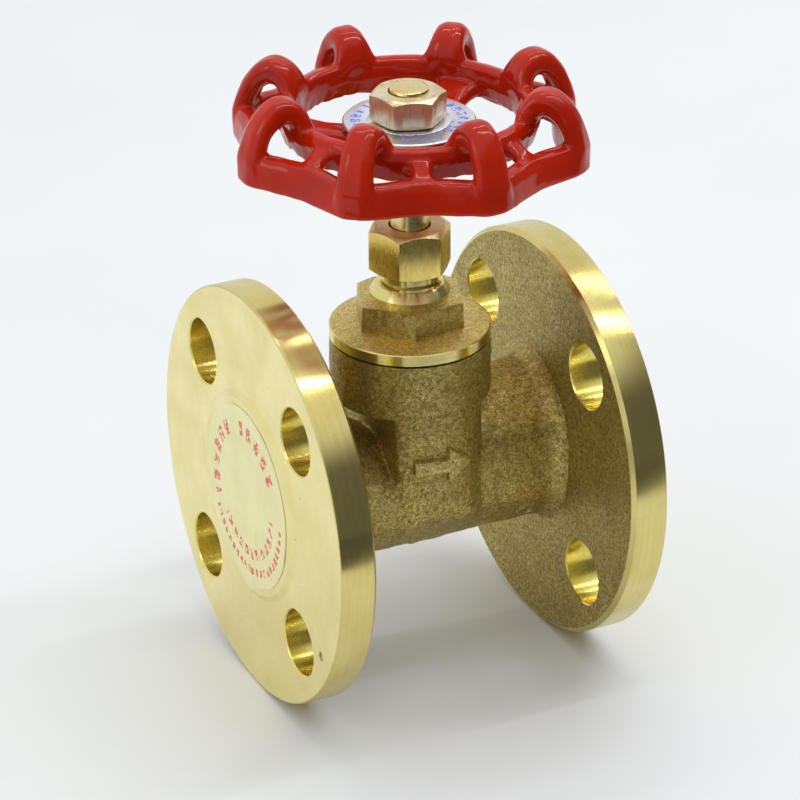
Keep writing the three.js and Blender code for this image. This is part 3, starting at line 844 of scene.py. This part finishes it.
def nut_shape(corner, heights, turn, flat, drops, hole, looks=(0, 0)):
    """A hexagon nut with conical chamfers, made as rings that follow its corners and flats.

    drops is how far the lower and upper corners are cut back; looks gives the side's and
    the top's material indices.
    """
    low, high = heights
    steps = 12  # points on each flat
    apothem = corner * math.cos(math.pi / 6)
    shape = bmesh.new()
    rings = []
    angles = [turn + 60 * i / steps for i in range(6 * steps)]

    def hex_radius(step):
        return apothem / math.cos(math.radians((step % steps) * 60 / steps - 30))

    def ring(radius_at, height_at):
        points = [on_circle(radius_at(i), angles[i], height_at(i)) for i in range(len(angles))]
        rings.append([shape.verts.new(point) for point in points])

    def slope(i, drop):
        return drop * (hex_radius(i) - flat) / (corner - flat)

    ring(lambda i: hole, lambda i: low)
    ring(lambda i: flat, lambda i: low)
    ring(hex_radius, lambda i: low + slope(i, drops[0]))
    ring(hex_radius, lambda i: high - slope(i, drops[1]))
    ring(lambda i: flat, lambda i: high)
    ring(lambda i: hole, lambda i: high)
    for number, (first, second) in enumerate(zip(rings, rings[1:] + rings[:1])):
        for i in range(len(first)):
            j = (i + 1) % len(first)
            face = shape.faces.new((first[i], first[j], second[j], second[i]))
            face.material_index = looks[1] if number in (3, 4) else looks[0]
    bmesh.ops.recalc_face_normals(shape, faces=shape.faces)
    return shape


def bonnet_disc():
    """The disc that closes the barrel, with the screwed shank below it."""
    low = bottom("bonnet_gasket") + RIM_DEPTH
    foot = bottom("bonnet")
    undercut = SHANK_R - 0.8
    profile = [(STEM_BORE_R, foot), (SHANK_R - 0.5, foot)]
    crest = foot + 0.5
    while crest < low - 1.6:
        profile += [(SHANK_R, crest), (SHANK_R, crest + 0.3), (SHANK_R - 0.7, crest + SHANK_PITCH / 2)]
        crest += SHANK_PITCH
    profile += [
        (undercut, low - 1.0), (undercut, low), (BARREL_R - 0.35, low), (BARREL_R, low + 0.3),
        (BARREL_R, RIM_TOP - 0.25), (BARREL_R - 0.22, RIM_TOP), (BARREL_R - 0.9, RIM_TOP + 0.22),
        (DOME_R, RIM_TOP + DOME_RISE), (STEM_BORE_R, RIM_TOP + DOME_RISE + 0.1),
    ]
    machined, cast = 0, 1
    looks = [machined] * (len(profile) - 4) + [cast, cast, cast, machined]
    piece = new_object("bonnet_disc", turned(profile, 160, looks), [LOOKS["turned"], LOOKS["bonnet"]])
    return finish_piece(shade(piece), "root", "bonnet_bronze", "bonnet")


def bonnet_hexagon():
    """The cast hexagon: slightly tapered, with worn corners and a chamfered top."""
    taper = 0.035
    heights = (RIM_TOP - 1.2, HEX_TOP + 1)
    hexagon = nut_shape(HEX_R + 0.1, heights, HEX_TURN, 11.0, (0, 0), 6.0)
    for vertex in hexagon.verts:
        rise = (vertex.co.z - heights[0]) / (heights[1] - heights[0])
        vertex.co.xy *= 1 - taper * max(0.0, rise)
    piece = new_object("bonnet_hexagon", hexagon, [LOOKS["bonnet"]])
    soften(piece, 0.25, 2, relief=0.12, grain=1.6)
    wide, above = HEX_R + 1, HEX_TOP + 4
    facing = [(0, HEX_TOP), (HEX_FLAT, HEX_TOP), (wide, HEX_TOP - HEX_DROP), (wide, above), (0, above)]
    cut(piece, turned(facing))
    return finish_piece(shade(piece, 25), "root", "bonnet_bronze", "bonnet")


def bonnet_neck():
    """Turned collar, cone and neck between the hexagon and the gland nut, bored for the packing."""
    foot = HEX_TOP - 2
    thread = bottom("gland_nut")
    thread_r = NECK_R + 0.45
    step_r = NECK_R + 0.75
    bore = STEM_R + 0.3
    profile = [
        (bore, foot), (COLLAR_R, foot), (COLLAR_R, HEX_TOP + 0.9),
        (COLLAR_R - 0.15, HEX_TOP + 1.1), (step_r + 0.45, CONE_TOP), (step_r + 0.25, CONE_TOP + 0.2),
        (step_r, CONE_TOP + 0.25), (step_r, CONE_TOP + 0.95),
        (NECK_R, CONE_TOP + 1.15), (NECK_R, thread + 0.5), (thread_r, thread + 0.9),
        (thread_r, top("bonnet")), (PACKING_R, top("bonnet")), (PACKING_R, PACKING_FLOOR),
        (bore, PACKING_FLOOR),
    ]
    piece = new_object("bonnet_neck", turned(profile, 128), [LOOKS["turned"]])
    return finish_piece(shade(piece), "root", "bonnet_bronze", "bonnet")


def gland_nut():
    heights = (bottom("gland_nut"), top("gland_nut"))
    shape = nut_shape(GLAND_R, heights, GLAND_TURN, 7.75, (0.75, 1.05), STEM_R + 0.35, looks=(0, 1))
    piece = new_object("gland_hexagon", shape, [LOOKS["gland"], LOOKS["gland_top"]])
    cut(piece, plug(GLAND_HOLLOW_R, heights[0] - 1, GLAND_HOLLOW_TOP, 64))
    bevel(piece, 0.1)
    return finish_piece(shade(piece, 20), "root", "gland_brass", "gland_nut")


# ---- stem, nut and plate


def stem_rod():
    """The whole stem: button, neck, thread, rod and its domed end."""
    end = top("stem")
    edge = 0.2
    button_top = BUTTON_BOTTOM + 2.3
    crest, thread_end = STEM_THREAD
    thread_start = crest - 0.6
    root_r = STEM_THREAD_R - 0.7
    profile = [
        (0, BUTTON_BOTTOM), (BUTTON_R - edge, BUTTON_BOTTOM), (BUTTON_R, BUTTON_BOTTOM + edge),
        (BUTTON_R, button_top - edge), (BUTTON_R - edge, button_top), (STEM_NECK_R, button_top),
        (STEM_NECK_R, thread_start), (STEM_THREAD_R - 0.5, thread_start),
    ]
    while crest < thread_end:
        profile += [(STEM_THREAD_R, crest), (STEM_THREAD_R, crest + 0.35)]
        profile += [(root_r, crest + 0.5), (root_r, crest + 0.85)]
        crest += 1.0
    profile += [
        (STEM_R, thread_end + 1), (STEM_R, end - 0.55), (STEM_R - 0.2, end - 0.2),
        (STEM_R - 0.65, end - 0.02), (2.2, end + 0.06), (0, end + 0.08),
    ]
    shape = turned(profile, 64)
    for vertex in shape.verts:
        if vertex.co.z > end - 1:
            vertex.co.z += 0.12 * noise.noise(vertex.co * 0.5)
    piece = new_object("stem_rod", shape, [LOOKS["stem"]])
    return finish_piece(shade(piece), "stem", "stem_brass", "stem")


def stem_nut():
    heights = (bottom("stem_nut"), top("stem_nut"))
    shape = nut_shape(NUT_R, heights, NUT_TURN, 6.95, (0.4, 0.75), STEM_R + 0.06)
    piece = new_object("top_nut", shape, [LOOKS["nut"]])
    bevel(piece, 0.1)
    piece.data.transform(Matrix.Translation((NUT_SHIFT * MM, 0, 0)))
    return finish_piece(shade(piece, 20), "stem", "nut_brass", "stem_nut")


def nameplate():
    low, high = bottom("nameplate"), top("nameplate")
    radius = reach("nameplate")
    profile = [
        (STEM_R + 0.2, low), (radius - 0.2, low), (radius, low + 0.2), (radius, high - 0.25),
        (radius - 0.25, high), (PLATE_GROOVE_R + 0.2, high), (PLATE_GROOVE_R, high - 0.06),
        (PLATE_GROOVE_R - 0.2, high), (STEM_R + 0.2, high),
    ]
    piece = new_object("nameplate_disc", turned(profile, 128), [LOOKS["plate"]])
    return finish_piece(shade(piece), "stem", "nameplate_aluminium", "nameplate")


# ---- handwheel


def rim_radius(degrees):
    """The rim's outside radius: an octagon with blunt corners and slightly hollow sides."""
    sector = 360 / ARCHES
    off = abs(degrees - sector * round(degrees / sector))
    chord = RIM_CORNER * math.cos(math.radians(sector / 2))
    along_side = max(off, math.degrees(RIM_BLUNT / RIM_CORNER))
    hollow = (chord - RIM_MIDDLE) * math.sin(math.pi * off / sector) ** 2
    return chord / math.cos(math.radians(sector / 2 - along_side)) - hollow


def wheel_rim():
    """The rim as a chain of convex blocks, its outer face leaning out slightly at its foot."""
    blocks = []
    step = 2.5
    outline = (
        (0.8, WHEEL_BOTTOM), (-0.1, WHEEL_BOTTOM + 0.6), (0, WHEEL_BOTTOM + 2), (0.6, WHEEL_RIM_TOP - 2.6),
        (1.4, WHEEL_RIM_TOP - 1.2), (2.6, WHEEL_RIM_TOP - 0.7), (4.6, WHEEL_RIM_TOP - 0.7),
        (5.4, WHEEL_RIM_TOP - 1.8), (5.0, WHEEL_BOTTOM + 0.8), (4.4, WHEEL_BOTTOM),
    )
    for number in range(round(360 / step)):
        points = []
        for degrees in (number * step, (number + 1) * step):
            points += [on_circle(rim_radius(degrees) - inset, degrees, height) for inset, height in outline]
        blocks.append(solid(points))
    return blocks


def inner_ring():
    """The ring round the wheel's middle, with an uneven cast edge below."""
    profile = [
        (RING_IN + 0.6, 79.5), (RING_IN + 3.0, 79.9), (RING_OUT + 0.3, RING_TOP - 2.2),
        (RING_OUT - 0.5, RING_TOP - 0.3), (RING_IN + 1.6, RING_TOP + 0.05), (RING_IN + 0.4, RING_TOP - 0.8),
        (RING_IN, 83.0),
    ]
    shape = turned(profile, 160)
    for vertex in shape.verts:
        if vertex.co.z < 80.5:
            vertex.co.z += 0.8 * noise.noise(vertex.co * 0.4)
            vertex.co.xy *= 1 + 0.015 * noise.noise(vertex.co * 0.6)
    return [shape]


# Matching points of the arch's outside and its window side, (radius, height), rim to ring.
ARCH_OUTSIDE = (
    (41.0, 76.2), (40.5, 79.0), (39.8, 82.0), (38.8, 85.2), (37.4, 88.3), (35.3, 91.1), (32.9, 92.9),
    (30.6, 93.4), (28.2, 92.8), (26.2, 91.2), (24.8, 88.8), (24.3, 86.4), (24.4, 84.0),
)
ARCH_INSIDE = (
    (35.6, 76.5), (35.6, 79.0), (35.2, 81.6), (34.5, 84.0), (33.5, 85.9), (32.3, 87.0), (31.4, 87.5),
    (30.5, 87.6), (29.8, 87.3), (29.2, 86.7), (28.8, 85.9), (28.5, 85.0), (28.4, 83.5),
)
ARCH_HALF_WIDTHS = (4.4, 4.3, 4.1, 3.9, 3.7, 3.55, 3.5, 3.55, 3.7, 4.0, 4.7, 5.9, 6.8)


def curve_through(values):
    """Points on a smooth curve through the values, which are numbers or tuples."""
    points = [Vector(value) if isinstance(value, tuple) else Vector((value, 0)) for value in values]
    ends = [2 * points[0] - points[1], *points, 2 * points[-1] - points[-2]]
    line = []
    parts = 3
    for a, b, c, d in zip(ends, ends[1:], ends[2:], ends[3:]):
        for i in range(parts):
            t = i / parts
            line.append(0.5 * (2 * b + (c - a) * t + (2 * a - 5 * b + 4 * c - d) * t ** 2
                               + (3 * b - a - 3 * c + d) * t ** 3))
    return line + [points[-1]]


def arch_section(outer, inner, half):
    """One slice of an arch, with well rounded edges and held inside the rim's outline."""
    points = []
    for share in (0.0, 0.05, 0.16, 0.34, 0.66, 0.84, 0.95, 1.0):
        width = half * (1 - abs(2 * share - 1) ** 2.7) ** (1 / 2.7) if 0 < share < 1 else half * 0.4
        at = outer.lerp(inner, share)
        off = math.degrees(math.atan2(width, at.x))
        limit = rim_radius(off) * math.cos(math.radians(off)) + max(0.0, at.y - WHEEL_RIM_TOP)
        points += [Vector((min(at.x, limit), side * width, at.y)) for side in (1, -1)]
    return points


def arch(degrees):
    """A bridge from the rim's corner up over the window and down to the inner ring."""
    sections = [
        arch_section(outer, inner, half.x)
        for outer, inner, half in zip(*map(curve_through, (ARCH_OUTSIDE, ARCH_INSIDE, ARCH_HALF_WIDTHS)))
    ]
    return [about_z(solid(low + high), degrees) for low, high in zip(sections, sections[1:])]


def web(degrees):
    """The strip of skin between two windows, wider at both ends so that its corners are round."""
    blocks = []
    stations = curve_through(((34.8, 82.4), (32.9, 82.9), (30.8, 83.9), (28.6, 85.2), (26.8, 86.3)))
    widths = curve_through((5.0, 2.9, 2.3, 2.9, 5.4))
    lines = list(zip(stations, widths))
    for pair in zip(lines, lines[1:]):
        points = []
        for station, width in pair:
            for inset, drop in ((0, 1.0), (0, 2.2), (0.9, 0.0), (0.9, 3.0)):
                half, height = width.x - inset, station.y - drop
                points += [Vector((station.x, side * half, height)) for side in (1, -1)]
        blocks.append(about_z(solid(points), degrees))
    return blocks


def spoke(degrees):
    """A flat arm from the hub to the ring, with its corners cut off."""
    stations = (  # radius, top, underside, half-width
        (7.0, 81.2, 77.0, 4.6), (14.0, 81.0, 77.2, 4.0), (18.0, 81.5, 77.8, 3.9),
        (22.0, 82.4, 78.6, 4.2), (25.6, 83.2, 79.6, 5.6),
    )
    blocks = []
    for first, second in zip(stations, stations[1:]):
        points = []
        for radius, high, low, width in (first, second):
            section = ((1.5, high), (0.5, high - 0.5), (0, high - 1.5), (0, low + 1.2), (1.2, low))
            for inset, height in section:
                points += [Vector((radius, side * (width - inset), height)) for side in (1, -1)]
        blocks.append(about_z(solid(points), degrees))
    return blocks


def handwheel():
    shapes = wheel_rim() + inner_ring()
    for number in range(ARCHES):
        shapes += arch(number * 360 / ARCHES)
        shapes += web((number + 0.5) * 360 / ARCHES)
    for degrees in SPOKE_ANGLES:
        shapes += spoke(degrees - WHEEL_TURN)
    hub = [
        (0, HUB_BOTTOM), (HUB_R - 0.9, HUB_BOTTOM), (HUB_R, HUB_BOTTOM + 1), (HUB_R, HUB_TOP - 1),
        (HUB_R - 0.5, HUB_TOP), (0, HUB_TOP),
    ]
    shapes.append(turned(hub, 64))
    whole = about_z(merged(shapes), WHEEL_TURN)
    piece = new_object("handwheel_casting", whole, [LOOKS["red"]])
    soften(piece, 0.35, 8, relief=0.12, grain=3.2)
    return finish_piece(shade(piece, 70), "stem", "red_enamel", "handwheel")


# ---- port label


def port_label():
    """A thin round sticker with an uneven edge, faint creases and one lifted fold."""
    shape = bmesh.new()
    rings, segments = 36, 120
    face = FACE_X + 0.02
    rows = []

    def height(y, z):
        fold = math.exp(-((y + 6.0 + 0.18 * z) / 0.8) ** 2) * max(0.0, min(1.0, (2 - z) / 12))
        crease = 0.10 * abs(noise.noise(Vector((y, z, 3.0)) * 0.16))
        return face + crease + 0.35 * fold

    for ring in range(1, rings + 1):
        row = []
        for i in range(segments):
            degrees = 360 * i / segments
            rag = 0.25 * noise.noise(on_circle(3.0, degrees, 1.0))
            flat = on_circle((LABEL_R - 0.1 + rag) * ring / rings, degrees)
            row.append(shape.verts.new((-height(flat.x, flat.y), flat.x, flat.y)))
        rows.append(row)
    middle = shape.verts.new((-height(0, 0), 0, 0))
    for i in range(segments):
        shape.faces.new((middle, rows[0][i], rows[0][(i + 1) % segments]))
        for low, high in zip(rows, rows[1:]):
            shape.faces.new((low[i], high[i], high[(i + 1) % segments], low[(i + 1) % segments]))
    bmesh.ops.recalc_face_normals(shape, faces=shape.faces)
    piece = new_object("port_label", shape, [LOOKS["label"]])
    thick = piece.modifiers.new("paper", "SOLIDIFY")
    thick.thickness = 0.12 * MM
    thick.offset = 0
    settle(piece)
    return finish_piece(shade(piece, 50), "root", "label_paper", "inlet_label")


# ---- carried-over nodes

HIDDEN_LOOKS = {
    "seat_ring": "turned", "bonnet_gasket": "fibre", "packing_washer": "turned",
    **{f"packing_ring_{number}": "white" for number in range(1, 5)}, "gland_follower": "turned",
    "disc_holder": "turned", "disc_seal": "white", "disc_screw": "steel",
}


def dress_nodes():
    """Gives the CAD's own hidden pieces their looks."""
    for name, look in HIDDEN_LOOKS.items():
        node = frame["nodes"][name]
        if not node.material_slots:
            node.data.materials.append(LOOKS[look])
        for material_slot in node.material_slots:
            material_slot.material = LOOKS[look]


# ---- studio


def sheet(name, height, x_reach, low_y, high_y, material):
    """A level rectangular sheet at a given height."""
    shape = bmesh.new()
    corners = [(-x_reach, low_y), (x_reach, low_y), (x_reach, high_y), (-x_reach, high_y)]
    shape.faces.new([shape.verts.new((x, y, height)) for x, y in corners])
    piece = new_object(name, shape, [material])
    return piece


def floor():
    look = Look("studio_floor", 0.0, 0.55)
    shades = (0.83, 0.85, 0.86), (0.80, 0.82, 0.835)
    look.set("Base Color", look.mix(look.span(look.noise(120.0, 3.0), 0.35, 0.65), *shades))
    sheet("studio_floor", -AXIS / MM, 1600, -1600, 1600, look.material)


def softbox(name, place_m, aim_m, size, watts):
    """A rectangular lamp whose first side lies along X."""
    lamp = bpy.data.lights.new(name, "AREA")
    lamp.shape = "RECTANGLE"
    lamp.size, lamp.size_y = size
    lamp.energy = watts
    box = bpy.data.objects.new(name, lamp)
    back = (Vector(place_m) - Vector(aim_m)).normalized()
    along = (Vector((1, 0, 0)) - back * back.x).normalized()
    turn = Matrix((along, back.cross(along), back)).transposed().to_4x4()
    box.matrix_world = Matrix.Translation(place_m) @ turn
    bpy.context.scene.collection.objects.link(box)


def world():
    """A bright room with a dark corner in front on the right, which polished metal mirrors."""
    made = bpy.data.worlds.new("studio")
    made.use_nodes = True
    room = Nodes(made.node_tree)
    direction = room.node("ShaderNodeTexCoord").outputs["Generated"]
    towards = room.vector("DOT_PRODUCT", direction, (0.62, -0.78, 0))
    low_part = room.span(towards, 0.0, 0.45, 0.86, 0.13, "SMOOTHSTEP")
    tone = room.span(room.parts(direction)["Z"], 0.52, 0.82, low_part, 0.92, "SMOOTHSTEP")
    tint = {"Red": 0.99, "Green": 1.0, "Blue": 1.01}
    channels = {name: room.times(tone, share) for name, share in tint.items()}
    mirrored = room.node("ShaderNodeCombineColor", channels).outputs[0]
    by_camera = room.node("ShaderNodeLightPath").outputs["Is Camera Ray"]
    background = room.tree.nodes["Background"].inputs
    room.feed(background["Color"], room.mix(by_camera, mirrored, (0.83, 0.855, 0.87)))
    background["Strength"].default_value = 1.01
    bpy.context.scene.world = made


def camera():
    data = bpy.data.cameras.new("camera")
    data.lens = 168.75
    data.sensor_width = 36
    data.clip_start = 0.05
    view = bpy.data.objects.new("camera", data)
    view.location = (-0.33059, -0.67206, 0.44141)
    aim = Vector((0.0005, 0.0062, 0.0593))
    turn = (aim - view.location).to_track_quat("-Z", "Y").to_matrix()
    roll = Matrix.Rotation(math.radians(-0.25), 3, "Z")
    view.rotation_euler = (turn @ roll).to_euler()
    bpy.context.scene.collection.objects.link(view)
    bpy.context.scene.camera = view


def dark_card():
    """A dark sheet in front of the valve that only reflections see."""
    look = Look("dark_card", 0.0, 0.9)
    look.set("Base Color", (0.05, 0.05, 0.05, 1))
    card = sheet("dark_card", 1 - AXIS / MM, 1500, -1500, -190, look.material)
    for rays in ("camera", "diffuse", "transmission", "shadow"):
        setattr(card, "visible_" + rays, False)


def studio():
    floor()
    dark_card()
    world()
    camera()
    centre = (0, 0, 0.08)
    softbox("strip_front", (0.36, -0.18, 1.05), centre, (1.3, 0.05), 3.2)
    softbox("strip_back", (0.35, 0.31, 1.0), centre, (1.3, 0.032), 2.0)
    softbox("window", (-0.95, -0.1, 0.62), centre, (0.3, 0.3), 0.7)
    bpy.context.scene.view_settings.view_transform = "Standard"


# ---- build

flange("inlet_flange", -1)
flange("outlet_flange", 1)
body_core()
flow_arrow()
bonnet_disc()
bonnet_hexagon()
bonnet_neck()
gland_nut()
stem_rod()
stem_nut()
nameplate()
handwheel()
port_label()
dress_nodes()
studio()
